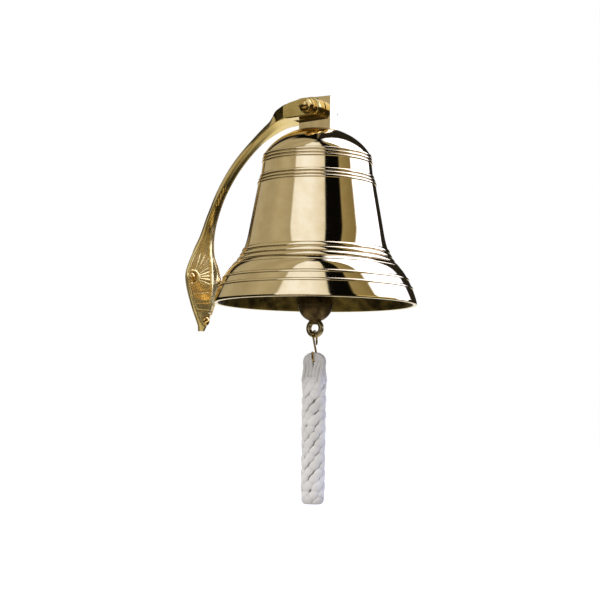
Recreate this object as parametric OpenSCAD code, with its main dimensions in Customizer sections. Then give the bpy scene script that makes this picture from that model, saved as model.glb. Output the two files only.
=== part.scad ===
// Wall-hung ship's bell. A cast wall bracket ends in a fork, the bell hangs from the fork
// by a hanger block and a cross bolt, and a clapper, an S hook and a bell rope hang in it.
// Frame: the wall is the plane x = 0 and +x points out from it, z is up, and the origin is
// the centre of the circle on which the three wall screws stand.

/* [Bell] */
// Diameter of the mouth
mouth_d = 200; // [198:0.5:202]
// Height from the mouth to the hanger's seat on the crown
bell_h = 173; // [172:0.5:174]

/* [Wall bracket] */
// Circle on which the three wall screws stand
screw_pcd = 57; // [56:0.5:58]
// Thickness of each tine of the fork
tine_t = 13; // [11:0.5:14]
// Radius of the tines' rounded ends
tine_nose_r = 9; // [8.5:0.5:9.5]
// Free width between the hanger block and each tine
side_play = 0.3; // [0.2:0.1:0.6]

/* [Hanger] */
// Length of the hanger block, across the pivot bolt
block_l = 35; // [34:0.5:36]
// Thickness of the hanger block, along the pivot bolt
block_t = 14; // [12:1:15]
// Height of the hanger block
block_h = 33; // [32:0.5:34]
// Diameter of the pivot bolt
bolt_d = 8; // [7:0.5:8]

/* [Clapper] */
// Diameter of the clapper's ball
ball_d = 34; // [32:0.5:34]
// Height of the clapper's pin above the mouth
clapper_pin_h = 140; // [138:0.5:140.5]
// Outer diameter of the eye under the ball
eye_d = 19; // [18:0.5:20]
// Thickness of the eye's bar
eye_bar_d = 5.4; // [5:0.2:5.6]

/* [S hook] */
// Diameter of the hook's wire
wire_d = 2; // [1.6:0.2:2.2]

/* [Bell rope] */
// Diameter of the rope
rope_d = 24; // [23:0.5:25]

/* [Hidden] */
$fn = 48;

// Colours of the finishes
polished_brass = [0.78, 0.66, 0.42];
cast_brass = [0.76, 0.60, 0.30];
dull_bronze = [0.42, 0.33, 0.20];
cotton = [0.90, 0.89, 0.86];

// Main places: the bell's axis out from the wall, its mouth, and the pivot that the arm reaches
reach = 135;
mouth_z = -15;
pivot_z = 179;
seat_z = mouth_z + bell_h;
pivot_h = pivot_z - seat_z;
pin_z = mouth_z + clapper_pin_h;

// Fork: half-widths of its slot and of the whole, and where the slot ends
slot_half = block_t / 2 + side_play;
fork_half = slot_half + tine_t;
crotch_x = reach - 23;

// Pivot bolt and its nut and washers
bolt_play = 0.05;
washer_t = 1.6;
bolt_head_h = 5.5;
nut_h = 6.5;
bolt_af = 13;
bolt_end = 3;

// Crown fixing and the staple that carries the clapper
crown_t = 11;
stud_r = 5;
stud_depth = 13;
crown_washer_t = 2;
crown_nut_h = 8;
crown_nut_af = 17;
staple_top_gap = 1;
staple_half_x = 7;
ear_in = 3.3;
ear_out = 7.5;
clapper_eye_r = 7;
clapper_eye_t = 6;
ear_gap_up = 7.8;
pin_r = 3;

// Wall screws: shank, head and the seats cut for the heads
hole_r = 3.1;
shank_r = 2.9;
stud_out_r = 2.4;
head_r = 5;
head_h = 3.2;
slot_w = 1.2;
slot_depth = 1.4;
seat_r = 5.6;
side_seat_x = 6;
lower_seat_x = 8.5;
screw_plain = 8;
screw_out = 12;

// Clapper's eye, S hook and rope
eye_major = (eye_d - eye_bar_d) / 2;
eye_z = mouth_z - ball_d / 2 - 6.3;
bar_z = eye_z - eye_major;
hook_top_r = eye_bar_d / 2 + wire_d / 2 + 0.3;
hook_low_r = 4.5;
hook_low_z = bar_z - 21.4;
hook_tip_up = 5;
hook_tip_down = 9.5;
rope_hole_r = 2.8;
rope_hang_z = hook_low_z - hook_low_r;
tongue_half = 2.2;
tongue_below_hole = 5.5;
bight_foot = 8;
rope_end_z = -210;

// Route of the rope, straight down from its top, one point every 10
rope_route = [
    [135, 0, -64], [135, 0, -74], [135, 0, -84], [135, 0, -94], [135, 0, -104],
    [135, 0, -114], [135, 0, -124], [135, 0, -134], [135, 0, -144], [135, 0, -154],
    [135, 0, -164], [135, 0, -174], [135, 0, -184], [135, 0, -194], [135, 0, -204],
    [135, 0, rope_end_z]
];
rope_eye_points = 3;
rope_sides = 12;

// ---- Curves ----

// A point of a cubic Bezier curve
function bezier(p, t) =
    pow(1 - t, 3) * p[0] + 3 * pow(1 - t, 2) * t * p[1]
    + 3 * (1 - t) * t * t * p[2] + pow(t, 3) * p[3];

// The points of a cubic Bezier curve, without its last one
function bezier_points(p, steps) = [for (i = [0 : steps - 1]) bezier(p, i / steps)];

// A point of a Catmull-Rom curve through a list, with u counted in stations
function spline(list, u) =
    let (
        last = len(list) - 1,
        i = min(floor(u), last - 1),
        t = u - i,
        a = list[max(i - 1, 0)],
        b = list[i],
        c = list[i + 1],
        d = list[min(i + 2, last)]
    )
    0.5 * (2 * b + (c - a) * t + (2 * a - 5 * b + 4 * c - d) * t * t
        + (3 * b - a - 3 * c + d) * t * t * t);

// A closed skin over rings of points, all with the same number of points
module skin(rings) {
    n = len(rings[0]);
    last = len(rings) - 1;
    points = [for (ring = rings) each ring];
    sides = [
        for (i = [0 : last - 1], j = [0 : n - 1])
            let (k = (j + 1) % n) each [
                [i * n + j, i * n + k, (i + 1) * n + j],
                [i * n + k, (i + 1) * n + k, (i + 1) * n + j]
            ]
    ];
    first_cap = [[for (j = [n - 1 : -1 : 0]) j]];
    last_cap = [[for (j = [0 : n - 1]) last * n + j]];
    polyhedron(points, concat(sides, first_cap, last_cap), convexity = 8);
}

module along_y(y) { translate([0, y, 0]) rotate([-90, 0, 0]) children(); }
module along_x(x) { translate([x, 0, 0]) rotate([0, 90, 0]) children(); }
module at_bell_axis(z) { translate([reach, 0, z]) children(); }

// ---- Wall bracket ----

// Stations from the plate's tip up the arm to the fork:
// [x and z of the back, half-width, thickness at the middle, thickness at the edges]
stations = [
    [-1, -39, 3, 9, 5], [-1, -30, 9.5, 11.5, 6], [-1, -15, 20, 15, 6],
    [-1, 3, 29.5, 16.5, 6], [-1, 16, 32.5, 16.5, 6], [-1, 27, 28.5, 16, 6],
    [-1, 41, 19.5, 14.5, 6], [3, 59, 12, 11, 6.5], [9, 80, 9, 9.4, 7],
    [20, 105, 7.5, 8.4, 7.4], [38, 132, 7.5, 8.2, 7.4], [62, 156, 8.5, 8.4, 7.4],
    [86, 173, 14, 10, 9], [103, 181, fork_half - 1, 12.5, 12.5], [110, 183.5, fork_half, 13, 13]
];
station_steps = 4;

// One section of the bracket: back, bevelled edges and a ridged front
function bracket_ring(u) =
    let (
        s = spline(stations, u),
        ahead = spline(stations, min(u + 0.05, len(stations) - 1)),
        behind = spline(stations, max(u - 0.05, 0)),
        step = [ahead[0] - behind[0], ahead[1] - behind[1]],
        out = [step[1], -step[0]] / norm(step),
        w = s[2],
        bevel = min(1.5, w / 3),
        shoulder = s[4] + (s[3] - s[4]) * 0.55,
        outline = [
            [0, w - bevel], [bevel, w], [s[4] - bevel / 2, w], [s[4], w - bevel],
            [shoulder, w / 2], [s[3], 0], [shoulder, -w / 2],
            [s[4], -w + bevel], [s[4] - bevel / 2, -w], [bevel, -w], [0, -w + bevel]
        ]
    )
    [for (p = outline) [s[0] + out[0] * p[0], p[1], s[1] + out[1] * p[0]]];

module bracket_arm() {
    count = (len(stations) - 1) * station_steps;
    skin([for (i = [0 : count]) bracket_ring(i / station_steps)]);
}

// Side view of the fork, from its root to its rounded nose
nose = [reach + 3, pivot_z + 0.3];
fork_root = [[127, 188], [112, 184.6], [101, 180], [101, 168.6], [104, 168.4]];
module fork_side() {
    polygon(concat(fork_root, [nose - [0, tine_nose_r], nose + [0, tine_nose_r]]));
    translate(nose) circle(tine_nose_r);
}

module fork() {
    difference() {
        translate([0, fork_half, 0]) rotate([90, 0, 0])
            linear_extrude(2 * fork_half) fork_side();
        translate([crotch_x, -slot_half, pivot_z - 30]) cube([60, 2 * slot_half, 60]);
    }
}

// Places a child at each wall screw, with its own seat height
screw_angles = [30, 150, 270];
module at_screw(i) {
    a = screw_angles[i];
    translate([0, screw_pcd / 2 * cos(a), screw_pcd / 2 * sin(a)]) children();
}
function seat_x(i) = i == 2 ? lower_seat_x : side_seat_x;

module bracket() {
    color(cast_brass) difference() {
        union() {
            bracket_arm();
            fork();
        }
        translate([-50, -60, -80]) cube([50, 120, 200]);
        for (i = [0 : 2]) at_screw(i) {
            along_x(-5) cylinder(r = hole_r, h = 30);
            along_x(seat_x(i)) cylinder(r = seat_r, h = 20);
        }
        at_bell_axis(pivot_z) along_y(-40) cylinder(r = bolt_d / 2 + bolt_play, h = 80);
    }
}

// ---- Fixings ----

// Round-headed slotted wood screw, driven towards -x
module wall_screw(i) {
    dome_r = (head_r * head_r + head_h * head_h) / (2 * head_h);
    color(cast_brass) at_screw(i) difference() {
        union() {
            along_x(seat_x(i)) intersection() {
                cylinder(r = head_r, h = head_h);
                translate([0, 0, head_h - dome_r]) sphere(dome_r);
            }
            along_x(0) cylinder(r = shank_r, h = seat_x(i) + 0.1);
            along_x(-screw_plain) cylinder(r = stud_out_r, h = screw_plain);
            along_x(-screw_out) cylinder(r1 = 0.4, r2 = 2, h = screw_out - screw_plain);
        }
        translate([seat_x(i) + head_h, 0, 0]) rotate([35 + 40 * i, 0, 0])
            cube([2 * slot_depth, slot_w, 3 * head_r], center = true);
    }
}

module hexagon(af, h) { rotate([0, 0, 30]) cylinder(d = af / cos(30), h = h, $fn = 6); }

// The bolt enters from the far side, and its nut is on the near side
module pivot_bolt() {
    head_y = fork_half + washer_t;
    shank = head_y + fork_half + washer_t + nut_h + bolt_end;
    color(cast_brass) at_bell_axis(pivot_z) {
        along_y(head_y) hexagon(bolt_af, bolt_head_h);
        along_y(head_y - shank) cylinder(d = bolt_d, h = shank + 1);
    }
}

module flat_washer(r_out, r_in, t) {
    difference() {
        cylinder(r = r_out, h = t);
        translate([0, 0, -1]) cylinder(r = r_in, h = t + 2);
    }
}

module pivot_washer(y) {
    color(cast_brass) at_bell_axis(pivot_z) along_y(y)
        flat_washer(8, bolt_d / 2 + bolt_play, washer_t);
}

module hex_nut(af, h, r_in) {
    difference() {
        hexagon(af, h);
        translate([0, 0, -1]) cylinder(r = r_in, h = h + 2);
    }
}

module pivot_nut() {
    color(cast_brass) at_bell_axis(pivot_z) along_y(-fork_half - washer_t - nut_h)
        hex_nut(bolt_af, nut_h, bolt_d / 2 + bolt_play);
}

// ---- Bell ----

// Raised mouldings turned on the bell: [height above the mouth, half-width, height]
beads = [
    [16.5, 1.4, 0.9], [24.9, 1.4, 0.9],
    [38.9, 2.1, 1.1], [43.3, 2.1, 1.1], [47.8, 2.1, 1.1], [52.4, 2.1, 1.1],
    [119.2, 1.6, 1], [122.6, 1.6, 1], [126, 1.6, 1],
    [140.4, 1.5, 1], [143.7, 1.5, 1], [147, 1.5, 1]
];
function bead_rise(z) =
    max([for (b = beads) abs(z - b[0]) < b[1] ? b[2] * sqrt(1 - pow((z - b[0]) / b[1], 2)) : 0]);

// Bezier stretches of the outside, from the lip up to the hanger's seat, as [radius, height]
lip_curve = [[100.5, 0.8], [98.2, 13], [88.5, 33.5], [81.3, 38]];
flare_curve = [[81.3, 38], [72.5, 46], [68.9, 60.5], [67.2, 70]];
waist_curve = [[67.2, 70], [64.3, 86], [61.5, 102], [58.6, 117.4]];
band_curve = [[58.6, 117.4], [58, 121], [56.2, 124], [55.6, 127.8]];
neck_curve = [[55.6, 127.8], [54.6, 136], [53.8, 143], [52.8, 148.2]];
shoulder_curve = [[52.8, 148.2], [50.5, 153], [44.5, 160], [36, 165.5]];
crown_curve = [[36, 165.5], [30, 169], [25, 171.5], [19, 173]];
// Stretches of the inside, from the lip up to the flat under the crown
bow_inside = [[96.3, 0.6], [92, 13], [80.5, 31], [70, 44.5]];
flare_inside = [[70, 44.5], [66, 50], [62.8, 62], [62, 74]];
waist_inside = [[62, 74], [57.8, 96], [53.5, 118], [49.2, 140]];
shoulder_inside = [[49.2, 140], [46.5, 148.5], [32, 158], [14, 162]];

outside = [
    for (p = concat(
        bezier_points(lip_curve, 26), bezier_points(flare_curve, 26),
        bezier_points(waist_curve, 4), bezier_points(band_curve, 20),
        bezier_points(neck_curve, 24), bezier_points(shoulder_curve, 8),
        bezier_points(crown_curve, 8)
    )) [p[0] + bead_rise(p[1]), p[1]]
];
inside = concat(
    bezier_points(bow_inside, 14), bezier_points(flare_inside, 8),
    bezier_points(waist_inside, 4), bezier_points(shoulder_inside, 14)
);
bore_r = stud_r + 0.3;

module bell_profile() {
    closing = [[19, 173], [bore_r, 173], [bore_r, 162], [14, 162]];
    inside_down = [for (i = [len(inside) - 1 : -1 : 0]) inside[i]];
    rim = [[97.2, 0], [99.8, 0]];
    whole = concat(outside, closing, inside_down, rim);
    polygon([for (p = whole) [p[0] * mouth_d / 201, p[1] * bell_h / 173]]);
}

module bell_shell() {
    color(polished_brass) at_bell_axis(mouth_z) rotate_extrude($fn = 96) bell_profile();
}

// ---- Hanger and crown fixing ----

module hanger_block() {
    color(polished_brass) at_bell_axis(seat_z) difference() {
        translate([-block_l / 2, -block_t / 2, 0]) cube([block_l, block_t, block_h]);
        translate([0, 0, pivot_h]) along_y(-block_t)
            cylinder(r = bolt_d / 2 + bolt_play, h = 2 * block_t);
        translate([0, 0, -1]) cylinder(r = stud_r + 0.05, h = stud_depth + 1.5);
    }
}

under_crown_z = seat_z - crown_t;
staple_top_z = under_crown_z - crown_washer_t - crown_nut_h - staple_top_gap;

// The staple screws up through the crown into the hanger block, and its fork holds the clapper
module clapper_staple() {
    color(cast_brass) at_bell_axis(0) {
        translate([0, 0, staple_top_z - 1])
            cylinder(r = stud_r, h = seat_z + stud_depth - staple_top_z + 1);
        difference() {
            translate([0, ear_out, pin_z]) rotate([90, 0, 0]) linear_extrude(2 * ear_out) {
                circle(staple_half_x);
                translate([-staple_half_x, 0]) square([2 * staple_half_x, staple_top_z - pin_z]);
            }
            translate([-20, -ear_in, pin_z - 20]) cube([40, 2 * ear_in, 20 + ear_gap_up]);
            translate([0, 0, pin_z]) along_y(-20) cylinder(r = pin_r + 0.05, h = 40);
        }
    }
}

module crown_washer() {
    color(cast_brass) at_bell_axis(under_crown_z - crown_washer_t)
        flat_washer(11, stud_r + 0.2, crown_washer_t);
}

module crown_nut() {
    color(cast_brass) at_bell_axis(under_crown_z - crown_washer_t - crown_nut_h)
        hex_nut(crown_nut_af, crown_nut_h, stud_r + 0.05);
}

split_pin_y = ear_out + 2.2;
split_pin_r = 0.8;

module clapper_pin() {
    color(cast_brass) at_bell_axis(pin_z) difference() {
        union() {
            along_y(-ear_out - 2) cylinder(r = 4.6, h = 2);
            along_y(-ear_out - 1) cylinder(r = pin_r, h = 2 * ear_out + 5);
        }
        translate([0, split_pin_y, -10]) cylinder(r = split_pin_r + 0.1, h = 20);
    }
}

module clapper_split_pin() {
    color(cast_brass) at_bell_axis(pin_z) translate([0, split_pin_y, 0]) {
        translate([0, 0, -6]) cylinder(r = split_pin_r, h = 10.5);
        translate([0, 0, 6]) rotate([90, 0, 0])
            rotate_extrude() translate([1.8, 0]) circle(split_pin_r);
    }
}

// ---- Clapper ----

module clapper() {
    rod_top_z = pin_z - 12;
    rod_top_r = 4.2;
    rod_foot_r = 6;
    neck_half = 4;
    color(dull_bronze) at_bell_axis(0) difference() {
        union() {
            translate([0, 0, pin_z]) along_y(-clapper_eye_t / 2)
                cylinder(r = clapper_eye_r, h = clapper_eye_t);
            translate([-neck_half, -clapper_eye_t / 2, rod_top_z - 2])
                cube([2 * neck_half, clapper_eye_t, pin_z - rod_top_z + 2]);
            translate([0, 0, mouth_z])
                cylinder(r1 = rod_foot_r, r2 = rod_top_r, h = rod_top_z - mouth_z);
            translate([0, 0, mouth_z]) sphere(d = ball_d, $fn = 96);
            translate([0, 0, eye_z]) rotate([90, 0, 0])
                rotate_extrude() translate([eye_major, 0]) circle(d = eye_bar_d);
        }
        translate([0, 0, pin_z]) along_y(-20) cylinder(r = pin_r + 0.06, h = 40);
    }
}

// ---- S hook ----

// The shank is the crossed tangent of the two arcs, so both arcs stop at this angle
hook_gap = bar_z - hook_low_z;
hook_angle = asin((hook_top_r + hook_low_r) / hook_gap);
arc_steps = 16;
wire_sides = 12;

// Centre line in the y-z plane: free end, upper arc, shank, lower arc and tip
hook_line = concat(
    [[hook_top_r, bar_z - hook_tip_down], [hook_top_r, bar_z - hook_tip_down / 2]],
    [
        for (i = [0 : arc_steps]) let (a = i / arc_steps * (180 + hook_angle))
            [hook_top_r * cos(a), bar_z + hook_top_r * sin(a)]
    ],
    [
        for (i = [0 : arc_steps]) let (a = hook_angle - i / arc_steps * (180 + hook_angle))
            [hook_low_r * cos(a), hook_low_z + hook_low_r * sin(a)]
    ],
    [[-hook_low_r, hook_low_z + hook_tip_up]]
);

module s_hook() {
    last = len(hook_line) - 1;
    color(polished_brass) skin([
        for (i = [0 : last])
            let (
                ahead = hook_line[min(i + 1, last)],
                behind = hook_line[max(i - 1, 0)],
                run = (ahead - behind) / norm(ahead - behind),
                centre = [reach, hook_line[i][0], hook_line[i][1]]
            )
            [
                for (j = [0 : wire_sides - 1]) let (a = 360 * j / wire_sides)
                    centre + wire_d / 2 * [cos(a), sin(a) * run[1], -sin(a) * run[0]]
            ]
    ]);
}

// ---- Bell rope ----

// The bight at the top of the rope: flat where the hook passes, full and round below
module rope_eye() {
    top_z = rope_route[0][2];
    foot_z = rope_route[rope_eye_points][2];
    r = rope_d / 2;
    color(cotton) translate([reach, 0, 0]) difference() {
        intersection() {
            union() {
                translate([0, 0, foot_z]) cylinder(r = r, h = top_z - r - foot_z);
                translate([0, 0, top_z - r]) sphere(r);
            }
            rotate([90, 0, 90]) linear_extrude(2 * r, center = true) polygon([
                [-r, foot_z - 1], [r, foot_z - 1], [r, foot_z + bight_foot],
                [tongue_half, rope_hang_z - tongue_below_hole], [tongue_half, top_z + 1],
                [-tongue_half, top_z + 1], [-tongue_half, rope_hang_z - tongue_below_hole],
                [-r, foot_z + bight_foot]
            ]);
        }
        translate([0, 0, rope_hang_z]) along_y(-20) cylinder(r = rope_hole_r, h = 40);
    }
}

// The rope's end tapers over its last stretch
function rope_radius(z) = rope_d / 2 * (z > -200 ? 1 : z > -207 ? 0.92 : 0.7);

module bell_rope() {
    route = [for (i = [rope_eye_points : len(rope_route) - 1]) rope_route[i]];
    color(cotton) skin([
        for (p = route) [
            for (j = [0 : rope_sides - 1])
                let (a = -360 * j / rope_sides)
                p + rope_radius(p[2]) * [cos(a), sin(a), 0]
        ]
    ]);
}

bracket();
wall_screw(0);  // wall_screw_right
wall_screw(1);  // wall_screw_left
wall_screw(2);  // wall_screw_lower
pivot_bolt();
pivot_washer(-fork_half - washer_t);  // pivot_washer_near
pivot_washer(fork_half);  // pivot_washer_far
pivot_nut();
bell_shell();
hanger_block();
clapper_staple();
crown_washer();
crown_nut();
clapper_pin();
clapper_split_pin();
clapper();
s_hook();
rope_eye();
bell_rope();
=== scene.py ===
"""Looks for a wall-hung ship's bell: turned bell, cast bracket, fixings, clapper, S hook and rope."""

import math
import random

import bpy
import numpy as np
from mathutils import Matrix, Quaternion, Vector


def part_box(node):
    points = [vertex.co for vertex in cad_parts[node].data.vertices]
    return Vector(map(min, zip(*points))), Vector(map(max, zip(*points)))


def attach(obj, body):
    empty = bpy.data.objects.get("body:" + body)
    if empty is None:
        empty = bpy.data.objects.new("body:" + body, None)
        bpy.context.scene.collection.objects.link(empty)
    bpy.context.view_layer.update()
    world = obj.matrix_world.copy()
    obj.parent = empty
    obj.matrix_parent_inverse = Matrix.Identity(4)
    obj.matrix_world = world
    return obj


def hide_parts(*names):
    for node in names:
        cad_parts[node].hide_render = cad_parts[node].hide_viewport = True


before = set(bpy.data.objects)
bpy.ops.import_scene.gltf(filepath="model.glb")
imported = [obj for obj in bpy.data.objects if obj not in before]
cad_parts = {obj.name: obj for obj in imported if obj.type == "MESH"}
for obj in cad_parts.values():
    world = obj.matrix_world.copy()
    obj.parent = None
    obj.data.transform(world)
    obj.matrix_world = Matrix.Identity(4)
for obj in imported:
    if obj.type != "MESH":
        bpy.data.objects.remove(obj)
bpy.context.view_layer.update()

MM = 0.001
scene = bpy.context.scene

# ---- Places from the frame, in millimetres ----


def box_mm(node):
    """Lowest and highest corner of a CAD node, in millimetres."""
    return [np.array(corner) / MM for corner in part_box(node)]


bell_lo, bell_hi = box_mm("bell_shell")
block_lo, block_hi = box_mm("hanger_block")
bolt_lo, bolt_hi = box_mm("pivot_bolt")
clapper_lo, clapper_hi = box_mm("clapper")
hook_lo, hook_hi = box_mm("s_hook")
nut_lo, nut_hi = box_mm("pivot_nut")
reach = (block_lo[0] + block_hi[0]) / 2
mouth_z = bell_lo[2]
pivot_z = (bolt_lo[2] + bolt_hi[2]) / 2
screw_heads = [box_mm(f"wall_screw_{side}") for side in ("right", "left", "lower")]

# ---- Camera ----

# The camera stands low and well out to the near side, so that the bell's mouth shows from below
CAMERA_FROM_AXIS = 1520
CAMERA_AZIMUTH = math.radians(28)
CAMERA_BELOW_MOUTH = 122
AIM_LEFT = math.radians(0.57)
AIM_UP = math.radians(4.75)
CAMERA_ROLL = math.radians(0.83)
SENSOR_MM = 36
LENS_MM = 93


def make_camera():
    data = bpy.data.cameras.new("camera")
    data.sensor_width = SENSOR_MM
    data.lens = LENS_MM
    camera = bpy.data.objects.new("camera", data)
    scene.collection.objects.link(camera)
    heading = CAMERA_AZIMUTH + AIM_LEFT
    ahead = Vector((-math.sin(heading), math.cos(heading), math.tan(AIM_UP)))
    turn = ahead.to_track_quat("-Z", "Y") @ Quaternion((0, 0, 1), CAMERA_ROLL)
    camera.rotation_euler = turn.to_euler()
    camera.location = (
        MM * (reach + CAMERA_FROM_AXIS * math.sin(CAMERA_AZIMUTH)),
        -MM * CAMERA_FROM_AXIS * math.cos(CAMERA_AZIMUTH),
        MM * (mouth_z - CAMERA_BELOW_MOUTH),
    )
    scene.camera = camera


make_camera()

# ---- Node trees ----


def linear(hex_colour):
    """Linear RGBA of an sRGB hex colour."""
    parts = [int(hex_colour[i : i + 2], 16) / 255 for i in (1, 3, 5)]
    return tuple(c / 12.92 if c <= 0.04045 else ((c + 0.055) / 1.055) ** 2.4 for c in parts) + (1,)


def add(tree, kind, inputs=None, **settings):
    """Adds a node. Each input takes a plain value, or a link where a socket is given."""
    made = tree.nodes.new(kind)
    for name, value in settings.items():
        setattr(made, name, value)
    for name, value in (inputs or {}).items():
        if isinstance(value, bpy.types.NodeSocket):
            tree.links.new(value, made.inputs[name])
        else:
            made.inputs[name].default_value = value
    return made


def new_material(name):
    material = bpy.data.materials.new(name)
    material.use_nodes = True
    material.node_tree.nodes.clear()
    return material, material.node_tree


def close_material(tree, **inputs):
    """Ends a material with its shader. Underscores in the names stand for spaces."""
    named = {name.replace("_", " "): value for name, value in inputs.items()}
    shader = add(tree, "ShaderNodeBsdfPrincipled", named)
    add(tree, "ShaderNodeOutputMaterial", {"Surface": shader.outputs[0]})


def object_coordinates(tree, centre=(0, 0, 0)):
    """Object coordinates, measured from a centre given in millimetres."""
    place = add(tree, "ShaderNodeTexCoord").outputs["Object"]
    shift = [-MM * c for c in centre]
    return add(tree, "ShaderNodeMapping", {"Vector": place, "Location": shift}).outputs[0]


def fade(tree, value, low, high, first, second):
    """Turns a first colour into a second as a value goes from low to high."""
    share = add(tree, "ShaderNodeMapRange", {"Value": value, "From Min": low, "From Max": high})
    mixed = add(
        tree, "ShaderNodeMix", {0: share.outputs[0], 6: first, 7: second}, data_type="RGBA"
    )
    return mixed.outputs[2]


# ---- Materials ----


def polished_brass():
    """Brass turned on a lathe and buffed: mirror bright, with faint rings left by the wheel."""
    material, tree = new_material("polished_turned_brass")
    place = object_coordinates(tree, (reach, 0, mouth_z))
    parts = add(tree, "ShaderNodeSeparateXYZ", {"Vector": place})
    flat = add(tree, "ShaderNodeCombineXYZ", {"X": parts.outputs[0], "Y": parts.outputs[1]})
    radius = add(
        tree, "ShaderNodeVectorMath", {0: flat.outputs[0]}, operation="LENGTH"
    ).outputs["Value"]
    turned = add(tree, "ShaderNodeCombineXYZ", {"X": radius, "Z": parts.outputs[2]}).outputs[0]
    # Buffing rings are about 0.1 mm apart; they are drawn at 0.8 mm so that they show at all
    rings = add(
        tree, "ShaderNodeTexNoise", {"Vector": turned, "Scale": 1 / (0.8 * MM), "Detail": 2}
    ).outputs[0]
    waves = add(
        tree, "ShaderNodeTexNoise", {"Vector": place, "Scale": 1 / (26 * MM), "Detail": 1}
    ).outputs[0]
    haze = add(
        tree, "ShaderNodeTexNoise", {"Vector": place, "Scale": 1 / (9 * MM), "Detail": 4}
    ).outputs[0]
    rough = add(
        tree,
        "ShaderNodeMapRange",
        {"Value": haze, "From Min": 0.3, "From Max": 0.75, "To Min": 0.035, "To Max": 0.085},
    ).outputs[0]
    fine = add(tree, "ShaderNodeBump", {"Height": rings, "Distance": 0.004 * MM}).outputs[0]
    wavy = add(
        tree, "ShaderNodeBump", {"Height": waves, "Distance": 0.03 * MM, "Normal": fine}
    ).outputs[0]
    close_material(
        tree,
        Base_Color=fade(tree, haze, 0.35, 0.7, linear("#F1DAA8"), linear("#E9CF9A")),
        Metallic=1.0,
        Roughness=rough,
        Normal=wavy,
    )
    return material


def sand_cast(name, *, grit_mm, harshness, depth_mm, patches_mm, detail, colours, metallic, rough):
    """Metal as it comes from the sand mould: grainy and dull, in patches of two colours. The grit
    has a size, a harshness and a depth, and the patches a size and a level of detail."""
    material, tree = new_material(name)
    place = object_coordinates(tree)
    grit = add(
        tree,
        "ShaderNodeTexNoise",
        {"Vector": place, "Scale": 1 / (grit_mm * MM), "Detail": 4, "Roughness": harshness},
    ).outputs[0]
    patches = add(
        tree,
        "ShaderNodeTexNoise",
        {"Vector": place, "Scale": 1 / (patches_mm * MM), "Detail": detail},
    ).outputs[0]
    dull, duller = rough
    grained = add(
        tree,
        "ShaderNodeMapRange",
        {"Value": grit, "From Min": 0.3, "From Max": 0.7, "To Min": dull, "To Max": duller},
    ).outputs[0]
    pitted = add(
        tree, "ShaderNodeBump", {"Height": grit, "Distance": depth_mm * MM, "Strength": 0.8}
    ).outputs[0]
    close_material(
        tree,
        Base_Color=fade(tree, patches, 0.35, 0.65, *map(linear, colours)),
        Metallic=metallic,
        Roughness=grained,
        Normal=pitted,
    )
    return material


def cast_inside():
    """Brass as it comes from the sand mould: grainy, dull and brown, with no polish."""
    return sand_cast(
        "sand_cast_brass", grit_mm=1.1, harshness=0.65, depth_mm=0.35, patches_mm=14, detail=4,
        colours=("#8F7A3A", "#3C3014"), metallic=0.9, rough=(0.42, 0.62),
    )


def clapper_bronze():
    """Bronze cast in sand and left dark: brown-black, slightly shiny on the high grains."""
    return sand_cast(
        "dark_cast_bronze", grit_mm=1.3, harshness=0.6, depth_mm=0.25, patches_mm=8, detail=3,
        colours=("#8C7448", "#4A3A22"), metallic=0.85, rough=(0.36, 0.55),
    )


def fettled_brass():
    """Brass cast rough and only wire-brushed: gold, with a fine pitted grain."""
    material, tree = new_material("wire_brushed_cast_brass")
    grit = add(
        tree,
        "ShaderNodeTexNoise",
        {
            "Vector": object_coordinates(tree), "Scale": 1 / (0.9 * MM),
            "Detail": 4, "Roughness": 0.7,
        },
    ).outputs[0]
    pitted = add(
        tree, "ShaderNodeBump", {"Height": grit, "Distance": 0.3 * MM, "Strength": 0.9}
    ).outputs[0]
    close_material(
        tree,
        Base_Color=fade(tree, grit, 0.35, 0.65, linear("#8F7A3E"), linear("#CDB06A")),
        Metallic=1.0,
        Roughness=0.34,
        Normal=pitted,
    )
    return material


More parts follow.
